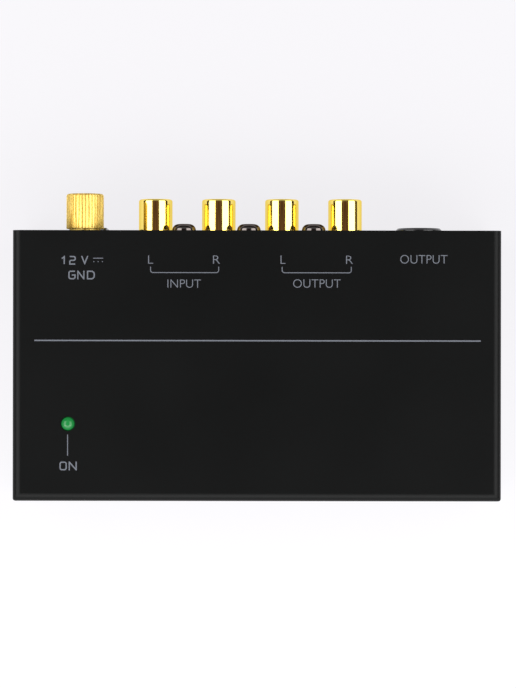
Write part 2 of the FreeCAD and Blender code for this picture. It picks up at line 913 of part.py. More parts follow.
def power_inlet_terminals():
    """Spring and switch pins of the inlet."""
    return [terminal(x, y, 0, lead_bottom) for x, y in inlet_terminal_places()]


def ground_stud():
    """Square-necked bolt pressed into the panel from inside."""
    head_back = stud_head_face - stud_head_height
    head = turned(
        [
            (0, head_back),
            (stud_head_radius - stud_head_chamfer, head_back),
            (stud_head_radius, head_back + stud_head_chamfer),
            (stud_head_radius, stud_head_face),
            (0, stud_head_face),
        ],
        "y", ground_x, 0, ground_z,
    )
    half = stud_neck / 2
    left = ground_x - half
    right = ground_x + half
    neck = block(left, right, stud_head_face, panel_out, ground_z - half, ground_z + half)
    end = nut_end - stud_end_recess
    shaft = turned(
        [
            (0, panel_in),
            (stud_radius, panel_in),
            (stud_radius, end - stud_end_chamfer),
            (stud_radius - stud_end_chamfer, end),
            (0, end),
        ],
        "y", ground_x, 0, ground_z,
    )
    return joined([head, neck, shaft])


def ground_solder_tag():
    """Flat tag round the stud's neck, led down between the inlet and the socket block to the board."""
    half = tag_width / 2
    ring = rod_y(ground_x, ground_z, stud_head_radius, stud_head_face, panel_in)
    arm = plate(
        [
            (ground_x, ground_z + half),
            (ground_x, ground_z - half),
            (tag_leg_x - half, ground_z - half, half / 2),
            (tag_leg_x - half, ground_z - tag_width),
            (tag_leg_x + half, ground_z - tag_width),
            (tag_leg_x + half, ground_z + half, half),
        ],
        "xz", stud_head_face, panel_in,
    )
    inner_bend = tag_bend_radius - tag_thickness
    leg = plate(
        [
            (panel_in, ground_z - tag_width),
            (stud_head_face, ground_z - tag_width),
            (stud_head_face, board_top + tag_thickness, inner_bend),
            (panel_in - tag_foot_length, board_top + tag_thickness),
            (panel_in - tag_foot_length, board_top),
            (panel_in, board_top, tag_bend_radius),
        ],
        "yz", tag_leg_x - half, tag_leg_x + half,
    )
    neck = neck_hole / 2
    near = panel_in - 2 * tag_thickness
    hole = block(ground_x - neck, ground_x + neck, near, panel_out, ground_z - neck, ground_z + neck)
    return joined([ring, arm, leg]).cut(hole)


def ground_washer():
    """Plain washer between the panel and the thumb nut."""
    inner = stud_radius + thread_fit
    profile = [
        (inner, panel_out),
        (washer_radius, panel_out),
        (washer_radius, nut_start),
        (inner, nut_start),
    ]
    return turned(profile, "y", ground_x, 0, ground_z)


def ribbed_ring(distance, inset):
    """Closed outline of the nut's ribs, drawn in by inset, at a distance along the axis."""
    step = math.radians(360 / nut_ribs)
    corners = []
    for i in range(2 * nut_ribs):
        depth = 0 if i % 2 else nut_rib_depth
        radius = nut_radius - inset - depth
        turn = i * step / 2
        place = Vector(ground_x + radius * math.cos(turn), distance, ground_z + radius * math.sin(turn))
        corners.append(place)
    return Part.makePolygon(corners + corners[:1])


def ground_thumb_nut():
    """Turned brass nut with straight ribs and chamfered ends."""
    rings = [
        ribbed_ring(nut_start, nut_chamfer),
        ribbed_ring(nut_start + nut_chamfer, 0),
        ribbed_ring(nut_end - nut_chamfer, 0),
        ribbed_ring(nut_end, nut_chamfer),
    ]
    knurled = Part.makeLoft(rings, True, True)
    inner = stud_radius + thread_fit
    bore = [
        (0, nut_start),
        (inner, nut_start),
        (inner, nut_end - nut_mouth_depth),
        (nut_mouth_radius, nut_end),
        (0, nut_end),
    ]
    return knurled.cut(turned(bore, "y", ground_x, 0, ground_z))


def lamp_lens():
    """Domed green lens with its base flange, drilled for the leads."""
    profile = [
        (0, lamp_base),
        (lamp_flange_radius, lamp_base),
        (lamp_flange_radius, lamp_base + lamp_flange_height),
        (lamp_radius, lamp_base + lamp_flange_height),
        (lamp_radius, lamp_top, lamp_dome_radius),
        (0, lamp_top),
    ]
    lens = turned(profile, "z", lamp_x, lamp_y, 0)
    entry = lamp_base + lamp_lead_entry
    return without(lens, [lamp_lead(x, seat_gap, lamp_base - 1, entry) for x in lamp_lead_xs])


def lamp_leads():
    """Two straight leads from the lens through the spacer and the board."""
    top = lamp_base + lamp_lead_entry - seat_gap
    return [lamp_lead(x, 0, lead_bottom, top) for x in lamp_lead_xs]


def lamp_spacer():
    """Tube that holds the lamp up at the cover."""
    spacer = rod_z(lamp_x, lamp_y, lamp_spacer_radius, board_top, lamp_base)
    return without(spacer, [lamp_lead(x, seat_gap, board_top - 1, lamp_base + 1) for x in lamp_lead_xs])


def can_capacitor(x, radius, height, groove_depth):
    """Aluminium can, with a rolled groove where it has a depth, on a square base with two cut corners."""
    base_top = board_top + can_base_height
    groove = board_top + can_groove_height
    top = board_top + height
    profile = [(0, base_top), (radius, base_top)]
    if groove_depth > 0:
        profile.append((radius, groove - can_groove_half))
        profile.append((radius - groove_depth, groove))
        profile.append((radius, groove + can_groove_half))
    profile += [(radius, top - can_rim), (radius - can_rim, top), (0, top)]
    cut = radius / 2
    left = x - radius
    right = x + radius
    front = can_row_y - radius
    rear = can_row_y + radius
    base = [(left + cut, front), (right - cut, front), (right, front + cut), (right, rear), (left, rear)]
    base.append((left, front + cut))
    return joined([turned(profile, "z", x, can_row_y, 0), plate(base, "xy", board_top, base_top)])


def reservoir_capacitors():
    """Large supply cans with a rolled groove."""
    return [can_capacitor(x, big_can_radius, big_can_height, can_groove_depth) for x in big_can_xs]


def coupling_capacitors():
    """Small plain cans in the signal path."""
    return [can_capacitor(x, small_can_radius, small_can_height, 0) for x in small_can_xs]


def film_capacitors():
    """Film capacitors of the equalising network, with a metal cap at each end."""
    capacitors = []
    front = film_cap_row_y - film_cap_width / 2
    rear = film_cap_row_y + film_cap_width / 2
    for x in film_cap_xs:
        left = x - film_cap_length / 2
        right = x + film_cap_length / 2
        core = block(
            left + film_cap_end, right - film_cap_end, front + film_cap_edge, rear - film_cap_edge,
            board_top + film_cap_edge, board_top + film_cap_height - film_cap_edge,
        )
        ends = [
            block(start, start + film_cap_end, front, rear, board_top, board_top + film_cap_height)
            for start in (left, right - film_cap_end)
        ]
        capacitors.append(joined([core] + ends))
    return capacitors


def op_amps():
    """Eight-leg amplifier packages with gull-wing legs on the board's face."""
    bottom = board_top + amp_lift
    top = bottom + amp_height
    shoulder = (bottom + top) / 2
    near = amp_row_y - amp_width / 2
    far = amp_row_y + amp_width / 2
    profile = [(near + amp_taper, bottom), (far - amp_taper, bottom), (far, shoulder)]
    profile += [(far - amp_taper, top), (near + amp_taper, top), (near, shoulder)]
    packages = []
    for middle in amp_xs:
        body = plate(profile, "yz", middle - amp_length / 2, middle + amp_length / 2)
        legs = []
        for x in spread(middle, amp_legs_a_side, amp_leg_pitch):
            for side in (-1, 1):
                root = amp_row_y + side * (amp_width / 2 - amp_taper)
                tip = amp_row_y + side * amp_leg_span / 2
                heel = tip - side * amp_foot
                back = heel - side * amp_leg_thickness
                leg = [
                    (root, shoulder + amp_leg_thickness / 2),
                    (heel, shoulder + amp_leg_thickness / 2),
                    (heel, board_top + amp_leg_thickness),
                    (tip, board_top + amp_leg_thickness),
                    (tip, board_top),
                    (back, board_top),
                    (back, shoulder - amp_leg_thickness / 2),
                    (root, shoulder - amp_leg_thickness / 2),
                ]
                legs.append(plate(leg, "yz", x - amp_leg_width / 2, x + amp_leg_width / 2))
        packages.append(joined([body] + legs))
    return packages


def chip_resistors():
    """Flat resistors soldered to the board's face."""
    half = chip_length / 2
    rows = [chip_row_y - j * chip_step for j in range(chip_rows)]
    return [
        block(x - chip_width / 2, x + chip_width / 2, y - half, y + half, board_top, board_top + chip_height)
        for x in chip_xs
        for y in rows
    ]


def voltage_regulator():
    """Flat regulator with a wide heat tab on one side and three legs on the other."""
    near = film_cap_row_y - regulator_width / 2
    far = film_cap_row_y + regulator_width / 2
    half = regulator_length / 2
    top = board_top + regulator_height
    lead_top = board_top + regulator_lead_thickness
    body = block(supply_x - half, supply_x + half, near, far, board_top, top)
    tab = regulator_tab_width / 2
    leads = [block(supply_x - tab, supply_x + tab, far, far + regulator_lead_reach, board_top, lead_top)]
    for x in spread(supply_x, regulator_leads, regulator_lead_pitch):
        side = regulator_lead_width / 2
        leads.append(block(x - side, x + side, near - regulator_lead_reach, near, board_top, lead_top))
    return joined([body] + leads)


def supply_diode():
    """Moulded diode with sloping ends."""
    near = amp_row_y - diode_width / 2
    far = amp_row_y + diode_width / 2
    half = diode_length / 2
    top = board_top + diode_height
    profile = [
        (supply_x - half, board_top),
        (supply_x + half, board_top),
        (supply_x + half - diode_taper, top),
        (supply_x - half + diode_taper, top),
    ]
    return plate(profile, "xz", near, far)


def supply_choke():
    """Supply choke wound on a waisted drum."""
    top = board_top + choke_height
    profile = [
        (0, board_top),
        (choke_radius, board_top),
        (choke_radius, board_top + choke_rim),
        (choke_waist, board_top + choke_rim),
        (choke_waist, top - choke_rim),
        (choke_radius, top - choke_rim),
        (choke_radius, top),
        (0, top),
    ]
    return turned(profile, "z", supply_x, chip_row_y - choke_radius, 0)


pieces = {
    "top_cover": [top_cover()],
    "base_chassis": [base_chassis()],
    "rubber_feet": rubber_feet(),
    "floor_screws": floor_screws(),
    "board_standoffs": board_standoffs(),
    "board_screws": board_screws(),
    "circuit_board": [circuit_board()],
    "phono_socket_block": [phono_socket_block()],
    "phono_shells": phono_shells(),
    "phono_insulators_left": phono_insulators(phono_xs[0::2]),
    "phono_insulators_right": phono_insulators(phono_xs[1::2]),
    "phono_contacts": phono_contacts(),
    "panel_screws": panel_screws(),
    "output_jack_housing": [output_jack_housing()],
    "jack_sleeve_spring": [jack_sleeve_spring()],
    "jack_ring_spring": [jack_ring_spring()],
    "jack_tip_spring": [jack_tip_spring()],
    "jack_terminals": jack_terminals(),
    "power_inlet_housing": [power_inlet_housing()],
    "power_inlet_pin": [power_inlet_pin()],
    "power_inlet_spring": [power_inlet_spring()],
    "power_inlet_terminals": power_inlet_terminals(),
    "ground_stud": [ground_stud()],
    "ground_solder_tag": [ground_solder_tag()],
    "ground_washer": [ground_washer()],
    "ground_thumb_nut": [ground_thumb_nut()],
    "lamp_lens": [lamp_lens()],
    "lamp_leads": lamp_leads(),
    "lamp_spacer": [lamp_spacer()],
    "reservoir_capacitors": reservoir_capacitors(),
    "coupling_capacitors": coupling_capacitors(),
    "film_capacitors": film_capacitors(),
    "op_amps": op_amps(),
    "chip_resistors": chip_resistors(),
    "voltage_regulator": [voltage_regulator()],
    "supply_diode": [supply_diode()],
    "supply_choke": [supply_choke()],
}

os.makedirs("parts", exist_ok=True)
for name, solids in pieces.items():
    shape = solids[0] if len(solids) == 1 else Part.makeCompound(solids)
    shape.exportStep("parts/" + name + ".step")
    print(name, len(shape.Solids), "solids", round(shape.Volume, 2), "mm3", shape.isValid())
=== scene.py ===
# %% [markdown]
# # A small phono preamp, dressed for its picture
# The object is a folded black steel box with gold sockets along its rear edge, seen from straight
# above. Its engineering model already gives every piece a true size and place, so this script only
# adds what the eye notices: finishes, rounded edges, ribs, printed marks, light and a camera.
# Everything is in metres and stands where the engineering model says, so nothing has to be fitted.

# %% Load the frame
import json
import math
import random

import bmesh
import bpy
from mathutils import Matrix, Vector


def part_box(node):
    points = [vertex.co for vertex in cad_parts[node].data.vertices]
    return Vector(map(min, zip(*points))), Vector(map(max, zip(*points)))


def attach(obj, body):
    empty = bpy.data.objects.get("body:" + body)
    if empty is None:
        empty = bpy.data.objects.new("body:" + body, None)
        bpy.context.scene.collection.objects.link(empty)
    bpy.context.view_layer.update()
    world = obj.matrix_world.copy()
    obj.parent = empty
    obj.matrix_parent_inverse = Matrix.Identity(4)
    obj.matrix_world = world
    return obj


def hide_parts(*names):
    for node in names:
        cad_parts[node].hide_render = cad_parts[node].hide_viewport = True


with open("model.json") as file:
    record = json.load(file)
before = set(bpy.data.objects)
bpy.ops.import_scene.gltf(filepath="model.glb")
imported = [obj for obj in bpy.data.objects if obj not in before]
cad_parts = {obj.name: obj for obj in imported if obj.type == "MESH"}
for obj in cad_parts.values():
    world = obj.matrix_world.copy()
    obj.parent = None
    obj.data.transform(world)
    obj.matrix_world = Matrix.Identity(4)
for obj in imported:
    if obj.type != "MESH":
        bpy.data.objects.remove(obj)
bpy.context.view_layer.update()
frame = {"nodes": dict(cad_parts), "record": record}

# %% [markdown]
# ## Reckoning with shader sockets
# A finish such as powder paint is a small sum: grain times strength plus a base. Nodes could be
# added one at a time, but then a sum of three terms takes a page. So one class wraps a socket and
# takes the ordinary signs, and each sign adds a Math node. Every other node comes from one method,
# which sets the node's own settings first and its sockets afterwards.


# %% A socket that can be reckoned with
class Wire:
    """One output socket of a shader, used like a number."""

    def __init__(self, socket):
        self.socket = socket

    @classmethod
    def node(cls, tree, kind, settings=None, sockets=None, out=0):
        """Adds a node and returns one of its outputs. A ramp's stops are (place, colour) pairs."""
        made = tree.nodes.new("ShaderNode" + kind)
        for name, value in (settings or {}).items():
            if name == "stops":
                stops = made.color_ramp.elements
                while len(stops) < len(value):
                    stops.new(0.5)
                for stop, (place, colour) in zip(stops, value):
                    stop.position = place
                    stop.color = (*colour, 1.0)
            else:
                setattr(made, name, value)
        for name, value in (sockets or {}).items():
            cls.feed(tree, made.inputs[name], value)
        return cls(made.outputs[out])

    @staticmethod
    def feed(tree, socket, value):
        """Gives a socket a link, a number or a colour."""
        if isinstance(value, Wire):
            tree.links.new(value.socket, socket)
        elif isinstance(value, tuple) and len(value) == 3 and socket.type == "RGBA":
            socket.default_value = (*value, 1.0)
        else:
            socket.default_value = value

    def reckon(self, operation, first, second):
        """A Math node on two values, at least one of them a Wire."""
        tree = self.socket.id_data
        return Wire.node(tree, "Math", {"operation": operation}, {0: first, 1: second})

    def __add__(self, other):
        return self.reckon("ADD", self, other)

    def __radd__(self, other):
        return self.reckon("ADD", other, self)

    def __sub__(self, other):
        return self.reckon("SUBTRACT", self, other)

    def __rsub__(self, other):
        return self.reckon("SUBTRACT", other, self)

    def __mul__(self, other):
        return self.reckon("MULTIPLY", self, other)

    def __rmul__(self, other):
        return self.reckon("MULTIPLY", other, self)

    def __truediv__(self, other):
        return self.reckon("DIVIDE", self, other)


# %% [markdown]
# ## A bench for finishes
# Each finish starts from the same shader. Its evenly spread qualities are set on the shader's own
# sockets, and only what changes over the surface is wired: colour, roughness and a bump. Patterns
# are read in object coordinates, which are metres here, so a grain of 0.3 mm is the same 0.3 mm on
# every piece.


# %% Start a finish
def new_finish(name, **even):
    """A material with its shader's even sockets set. Returns material, tree and shader."""
    material = bpy.data.materials.new(name)
    material.use_nodes = True
    tree = material.node_tree
    shader = tree.nodes["Principled BSDF"]
    for socket, value in even.items():
        Wire.feed(tree, shader.inputs[socket.replace("_", " ")], value)
    return material, tree, shader


def stretched(tree, size):
    """Object coordinates divided by a size for each direction, in millimetres."""
    place = Wire.node(tree, "TexCoord", out="Object")
    scale = tuple(1000 / s for s in size)
    return Wire.node(tree, "Mapping", {"vector_type": "POINT"}, {"Vector": place, "Scale": scale})


def noise(tree, size, detail=2.0, roughness=0.5):
    """Smooth noise from 0 to 1 whose lumps have that size in millimetres, one number or three."""
    size = size if isinstance(size, tuple) else (size, size, size)
    values = {"Vector": stretched(tree, size), "Scale": 1.0, "Detail": detail, "Roughness": roughness}
    return Wire.node(tree, "TexNoise", {"noise_dimensions": "3D"}, values, "Fac")


def blend_colours(tree, amount, first, second):
    """A colour between two, by an amount from 0 to 1."""
    settings = {"data_type": "RGBA", "blend_type": "MIX"}
    return Wire.node(tree, "Mix", settings, {"Factor": amount, 6: first, 7: second}, 2)


def dent(tree, shader, height, depth, strength=1.0):
    """Bumps the surface by a height from 0 to 1, where depth is the real depth in millimetres."""
    values = {"Height": height, "Distance": depth / 1000, "Strength": strength}
    Wire.feed(tree, shader.inputs["Normal"], Wire.node(tree, "Bump", {}, values, "Normal"))


finishes = {}

# %% [markdown]
# ## Satin black powder paint
# The case is steel, powder-coated and baked. Powder melts into a skin with a faint orange-peel
# grain, so it shines softly and shows no brush or file marks. A flat black would look like a hole
# in the picture. Two noises fix that: a fine one for the grain, and a wide one that shifts the
# black and its sheen a little from place to place, as an uneven coat does.

# %% Powder coat
material, tree, shader = new_finish("powder_coat_satin", Specular_IOR_Level=0.10)
peel = noise(tree, 0.35, 3.0, 0.55)
coat = noise(tree, 24.0, 1.0)
black = blend_colours(tree, coat, (0.0006, 0.0008, 0.0008), (0.0012, 0.0014, 0.0014))
Wire.feed(tree, shader.inputs["Base Color"], black)
Wire.feed(tree, shader.inputs["Roughness"], 0.34 + 0.06 * peel + 0.04 * coat)
dent(tree, shader, peel, 0.012, 0.5)
finishes["powder_coat"] = material
print("powder coat made")

# %% [markdown]
# ## Gold plate
# The socket barrels are brass, turned on a lathe, polished and gold-plated. Such a surface has
# almost no colour of its own: it shows the room in yellow. What keeps it from looking like a
# computer's idea of gold is the turning, faint rings round the axis, and a little haze that comes
# and goes. The rings are noise squeezed thin along the barrel and long across it.

# %% Gold plate
material, tree, shader = new_finish("gold_plate_polished", Metallic=1.0, Specular_Tint=(1.0, 0.86, 0.45))
haze = noise(tree, 3.0, 2.0)
rings = noise(tree, (40.0, 0.09, 40.0), 2.0)
gold = blend_colours(tree, haze, (1.0, 0.80, 0.20), (0.98, 0.76, 0.175))
Wire.feed(tree, shader.inputs["Base Color"], gold)
Wire.feed(tree, shader.inputs["Roughness"], 0.06 + 0.05 * haze)
dent(tree, shader, rings, 0.0004, 0.05)
finishes["gold_plate"] = material
print("gold plate made")

# %% [markdown]
# ## Satin brass
# The thumb nut and its washer are gilt brass too, but tumbled to a satin. Frosting scatters the
# light, so the nut looks evenly bright with fine sparkle. A short-grained noise roughens it, and a
# second noise stretched along the nut gives the drag marks of the knurling wheel.

# %% Satin brass
material, tree, shader = new_finish("brass_satin", Metallic=1.0)
frost = noise(tree, 0.16, 3.0, 0.6)
drag = noise(tree, (0.30, 9.0, 0.30), 1.0)
warm = noise(tree, 2.2, 1.0)
crest = blend_colours(tree, 0.65 * warm + 0.35 * frost, (0.72, 0.565, 0.18), (0.64, 0.475, 0.13))
line_stops = [(0.38, (0, 0, 0)), (0.47, (1, 1, 1))]
lines = Wire.node(tree, "ValToRGB", {"stops": line_stops}, {"Fac": drag}, "Color")
brass = blend_colours(tree, lines, (0.44, 0.27, 0.05), crest)
Wire.feed(tree, shader.inputs["Base Color"], brass)
Wire.feed(tree, shader.inputs["Roughness"], 0.54 + 0.14 * frost)
dent(tree, shader, 0.6 * frost + 0.4 * drag, 0.02, 0.6)
finishes["brass"] = material
print("satin brass made")

# %% [markdown]
# ## Screws, springs and plated steel
# The screws are black-nickelled: dark, but glossy enough for sharp glints. The inner steel parts
# and springs are bright-plated. They share one recipe, a metal with fine scratches, and differ
# only in colour, gloss and the size of the scratches.


# %% Plated metals
def plated(slot, name, light, dark, gloss, grain, rim=(1.0, 1.0, 1.0)):
    """A plated metal whose gloss varies with fine scratches. Rim tints what it shows at a low angle."""
    material, tree, shader = new_finish(name, Metallic=1.0, Specular_Tint=rim)
    scratch = noise(tree, (grain, 6 * grain, grain), 3.0)
    cloud = noise(tree, 2.5, 2.0)
    Wire.feed(tree, shader.inputs["Base Color"], blend_colours(tree, cloud, light, dark))
    Wire.feed(tree, shader.inputs["Roughness"], gloss + 0.12 * scratch)
    dent(tree, shader, scratch, 0.004, 0.4)
    finishes[slot] = material


plated(
    "dark_screw", "black_nickel", (0.13, 0.112, 0.105), (0.09, 0.078, 0.072), 0.03, 0.25,
    rim=(0.30, 0.27, 0.25),
)
plated("plated_steel", "zinc_plate", (0.66, 0.67, 0.69), (0.52, 0.54, 0.57), 0.24, 0.30)
plated("spring_metal", "spring_bronze", (0.83, 0.79, 0.70), (0.70, 0.64, 0.52), 0.20, 0.20)
plated("can_aluminium", "drawn_aluminium", (0.80, 0.80, 0.81), (0.66, 0.67, 0.69), 0.26, 0.35)
print("plated metals made")

# %% [markdown]
# ## Mouldings
# The jack, the inlet and the coloured rings are moulded plastic, which takes the gloss of its
# mould. Rubber feet are the same idea with the gloss gone. A fine noise stands for the texture of
# the mould, and a wide one keeps the tone from being dead even.


# %% Mouldings and rubber
def moulded(slot, name, light, dark, gloss, grain, depth):
    """A moulded plastic with a mould's fine texture."""
    material, tree, shader = new_finish(name, Specular_IOR_Level=0.5)
    texture = noise(tree, grain, 3.0, 0.6)
    tone = noise(tree, 5.0, 1.0)
    Wire.feed(tree, shader.inputs["Base Color"], blend_colours(tree, tone, light, dark))
    Wire.feed(tree, shader.inputs["Roughness"], gloss + 0.12 * texture)
    dent(tree, shader, texture, depth, 0.5)
    finishes[slot] = material


moulded(
    "black_moulding", "black_moulding_gloss", (0.012, 0.012, 0.013), (0.007, 0.007, 0.008),
    gloss=0.16, grain=0.5, depth=0.006,
)
moulded(
    "white_moulding", "white_moulding_gloss", (0.78, 0.77, 0.74), (0.70, 0.69, 0.66),
    gloss=0.26, grain=0.5, depth=0.006,
)
moulded(
    "red_moulding", "red_moulding_gloss", (0.50, 0.020, 0.018), (0.40, 0.014, 0.013),
    gloss=0.26, grain=0.5, depth=0.006,
)
moulded(
    "rubber", "rubber_matt", (0.022, 0.022, 0.023), (0.013, 0.013, 0.014),
    gloss=0.72, grain=0.3, depth=0.03,
)
print("mouldings made")

# %% [markdown]
# ## Circuit board
# The board is glass fibre under a green mask, with copper showing through as paler lines. It is
# shut in the case, so a simple pattern is enough: a brick pattern read in plan gives tracks and
# pads of about the right width.

# %% Board mask
material, tree, shader = new_finish("board_mask_green", Specular_IOR_Level=0.5)
plan = stretched(tree, (1.0, 1.0, 1.0))
settings = {"offset": 0.5, "squash": 0.6, "squash_frequency": 3}
bricks = {"Vector": plan, "Scale": 0.45, "Mortar Size": 0.045, "Mortar Smooth": 0.2}
tracks = Wire.node(tree, "TexBrick", settings, bricks, "Fac")
fibre = noise(tree, 0.4, 2.0)
mask = blend_colours(tree, tracks, (0.006, 0.070, 0.026), (0.020, 0.150, 0.050))
Wire.feed(tree, shader.inputs["Base Color"], mask)
Wire.feed(tree, shader.inputs["Roughness"], 0.22 + 0.15 * fibre)
dent(tree, shader, tracks, 0.03, 0.6)
finishes["board_mask"] = material
print("board mask made")

# %% [markdown]
# ## The lit lens
# The lamp is a green plastic dome with a light inside, and its glow is that light. The distance
# from the lamp's own axis, in millimetres, drives a ramp from a bright centre to a slightly dimmer
# ring and then to a nearly black rim, which is painted shade for the dark gap round the lens.

# %% Lit lens
RAMP_REACH = 1.7  # millimetres from the lamp's axis at which the ramp ends
lens_low, lens_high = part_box("lamp_lens")
lamp_x = (lens_low.x + lens_high.x) / 2
lamp_y = (lens_low.y + lens_high.y) / 2
material, tree, shader = new_finish("lens_green_lit", Specular_IOR_Level=0.28)
place = Wire.node(tree, "TexCoord", out="Object")
centred = {"Vector": place, "Location": (-lamp_x, -lamp_y, 0.0)}
centred = Wire.node(tree, "Mapping", {"vector_type": "POINT"}, centred)
flat = Wire.node(tree, "VectorMath", {"operation": "MULTIPLY"}, {0: centred, 1: (1000, 1000, 0)})
reach = Wire.node(tree, "VectorMath", {"operation": "LENGTH"}, {0: flat}, "Value")
# The last stop is painted shade: it darkens the lens rim to stand for the dark gap round it
glow_and_rim_shade_stops = [
    (0.0, (0.014, 0.235, 0.050)), (0.60, (0.012, 0.205, 0.042)), (0.89, (0.010, 0.165, 0.034)),
    (0.96, (0.001, 0.018, 0.004)),
]
glow_and_rim_shade = Wire.node(tree, "ValToRGB", {"stops": glow_and_rim_shade_stops}, {"Fac": reach / RAMP_REACH}, "Color")
Wire.feed(tree, shader.inputs["Emission Color"], glow_and_rim_shade)
shader.inputs["Emission Strength"].default_value = 1.0
cloudy = noise(tree, 0.8, 2.0)
plastic = blend_colours(tree, cloudy, (0.002, 0.025, 0.006), (0.003, 0.038, 0.010))
Wire.feed(tree, shader.inputs["Base Color"], plastic)
Wire.feed(tree, shader.inputs["Roughness"], 0.05 + 0.06 * cloudy)
finishes["green_lens"] = material
print("lens at", round(lamp_x, 4), round(lamp_y, 4))

# %% [markdown]
# ## Dress the engineering pieces
# Every piece of the engineering model already names the finish that it takes. So its material
# slots are simply given the finishes above, one after the other.

# %% Give each node its finish
slots = {row["node"]: row["material_slot"] for row in frame["record"]["subparts"]}
for name, node in frame["nodes"].items():
    for holder in node.material_slots:
        holder.material = finishes[slots[name]]
print(len(slots), "nodes dressed")

# %% [markdown]
# ## A bench for pieces
# The finer pieces are modelled in millimetres and scaled to metres at the very end, when the mesh
# becomes an object. A finished piece stands where its points say, with its object at the origin.
# It is told which moving body carries it, which finish it takes, and which engineering piece it
# stands for. Smooth shading with sharp edges kept is what a turned or moulded surface needs.


# %% Finish a piece
def finished(name, bm, slot, body, nodes=(), sharp=32):
    """Makes an object of a mesh in millimetres, riding on a body and standing for engineering nodes."""
    bmesh.ops.scale(bm, vec=(0.001, 0.001, 0.001), verts=bm.verts)
    mesh = bpy.data.meshes.new(name)
    bm.to_mesh(mesh)
    bm.free()
    mesh.shade_smooth()
    mesh.set_sharp_from_angle(angle=math.radians(sharp))
    mesh.materials.append(finishes[slot])
    made = bpy.data.objects.new(name, mesh)
    bpy.context.scene.collection.objects.link(made)
    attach(made, body)
    if nodes:
        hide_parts(*nodes)
    print(name, len(mesh.polygons), "faces")
    return made


def box_mm(node):
    """Lowest and highest corner of an engineering node in millimetres."""
    low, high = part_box(node)
    return low * 1000, high * 1000


def add(bm, shape, place=(0, 0, 0), turn=None):
    """Adds a shape's mesh to another, turned and then moved to its place."""
    spare = bpy.data.meshes.new("spare")
    shape.to_mesh(spare)
    before = len(bm.verts)
    bm.from_mesh(spare)
    bpy.data.meshes.remove(spare)
    bm.verts.ensure_lookup_table()
    new = bm.verts[before:]
    if turn:
        bmesh.ops.rotate(bm, verts=new, cent=(0, 0, 0), matrix=turn)
    bmesh.ops.translate(bm, verts=new, vec=place)


# %% [markdown]
# ## A small lathe
# Barrels and screws are turned shapes. The lathe takes a closed outline of corners,
# each with a distance from the axis, a distance along it and a rounding. It joins them to a wire,
# rounds each corner with a vertex bevel, which is how a cutter leaves it, and spins the wire once
# round. Points on the axis are merged so that the pole is closed.


# %% Lathe
def lathe(corners, steps=96):
    """A turned shape along Z from corners (radius, along, rounding)."""
    bm = bmesh.new()
    verts = [bm.verts.new((radius, 0, along)) for radius, along, rounding in corners]
    for i, vert in enumerate(verts):
        bm.edges.new((verts[i - 1], vert))
    for vert, (radius, along, rounding) in zip(verts, corners):
        if rounding:
            bmesh.ops.bevel(
                bm, geom=[vert], offset=rounding, offset_type="OFFSET", segments=6,
                profile=0.5, affect="VERTICES", material=-1,
            )
    wire = bm.verts[:] + bm.edges[:]
    bmesh.ops.spin(
        bm, geom=wire, cent=(0, 0, 0), axis=(0, 0, 1), angle=math.tau, steps=steps,
        use_merge=True, use_duplicate=False,
    )
    bmesh.ops.remove_doubles(bm, verts=bm.verts, dist=0.0005)
    bmesh.ops.dissolve_degenerate(bm, dist=0.0001, edges=bm.edges)
    bmesh.ops.recalc_face_normals(bm, faces=bm.faces)
    return bm


# Turns the lathe's axis Z to the object's rear, +Y
TO_REAR = Matrix.Rotation(math.radians(-90), 3, "X")

# %% [markdown]
# ## Gold barrels
# Each phono socket is a turned brass tube, gold-plated. Its outer edge is rounded so that a plug
# slides over it, and that little round is what catches the light. A step at the panel makes it look
# seated, and a flat leg runs from its rear end down to the board. The tubes are turned on the lathe
# once and added four times, at the places that the engineering record gives for the plugs.

# %% Barrels
LEG_WIDTH = 1.8
LEG_THICKNESS = 0.6
LEG_TOP = 3.55  # below the barrel's axis
mounts = {mount["name"]: mount for mount in frame["record"]["mounts"]}
barrel_axes = [Vector(m["pos_m"]) * 1000 for name, m in mounts.items() if name.endswith("_shell")]
shell_low, shell_high = box_mm("phono_shells")
panel = box_mm("base_chassis")[1].y
barrel_outline = [
    (3.4, shell_low.y, 0), (4.0, shell_low.y, 0.1), (4.0, panel, 0), (4.2, panel, 0),
    (4.2, shell_high.y, 0.6), (3.4, shell_high.y, 0.15),
]
barrel = lathe(barrel_outline, 128)
leg = bmesh.new()
bmesh.ops.create_cube(leg, size=1)
leg_size = (LEG_WIDTH, LEG_THICKNESS, barrel_axes[0].z - LEG_TOP - shell_low.z)
bmesh.ops.scale(leg, vec=leg_size, verts=leg.verts)
bm = bmesh.new()
for axis in barrel_axes:
    add(bm, barrel, (axis.x, 0, axis.z), TO_REAR)
    leg_middle = (axis.z - LEG_TOP + shell_low.z) / 2
    add(bm, leg, (axis.x, shell_low.y + LEG_THICKNESS / 2, leg_middle))
finished("phono_barrels", bm, "gold_plate", "case", ["phono_shells"])

# %% [markdown]
# ## Ribbed thumb nut
# The nut is turned, ribbed with a straight knurling wheel, and chamfered at both ends. It starts as
# one circle with four points to a rib: two for the crest and two for the groove. Knurling is never
# quite even, so the grooves differ a little in depth and place, always in the same way because the
# chance is seeded. Extruding the circle along the axis ring by ring makes the chamfers, the end face
# and the bore, and the last ring is bridged to the first.

# %% Thumb nut
RIBS = 36
RIB_TURN = 360 / RIBS
RIB_RADIUS = 4.6
GROOVE_DEPTH = 0.28
CREST_HALF = 2.9  # half the width of a rib's crest, in degrees
BORE_RADIUS = 2.05
nut_low, nut_high = box_mm("ground_thumb_nut")
nut_x = (nut_low.x + nut_high.x) / 2
nut_z = (nut_low.z + nut_high.z) / 2
chance = random.Random(7)
bm = bmesh.new()
ring = bmesh.ops.create_circle(bm, segments=4 * RIBS, radius=1)["verts"]
bmesh.ops.rotate(bm, verts=ring, cent=(0, 0, 0), matrix=TO_REAR)
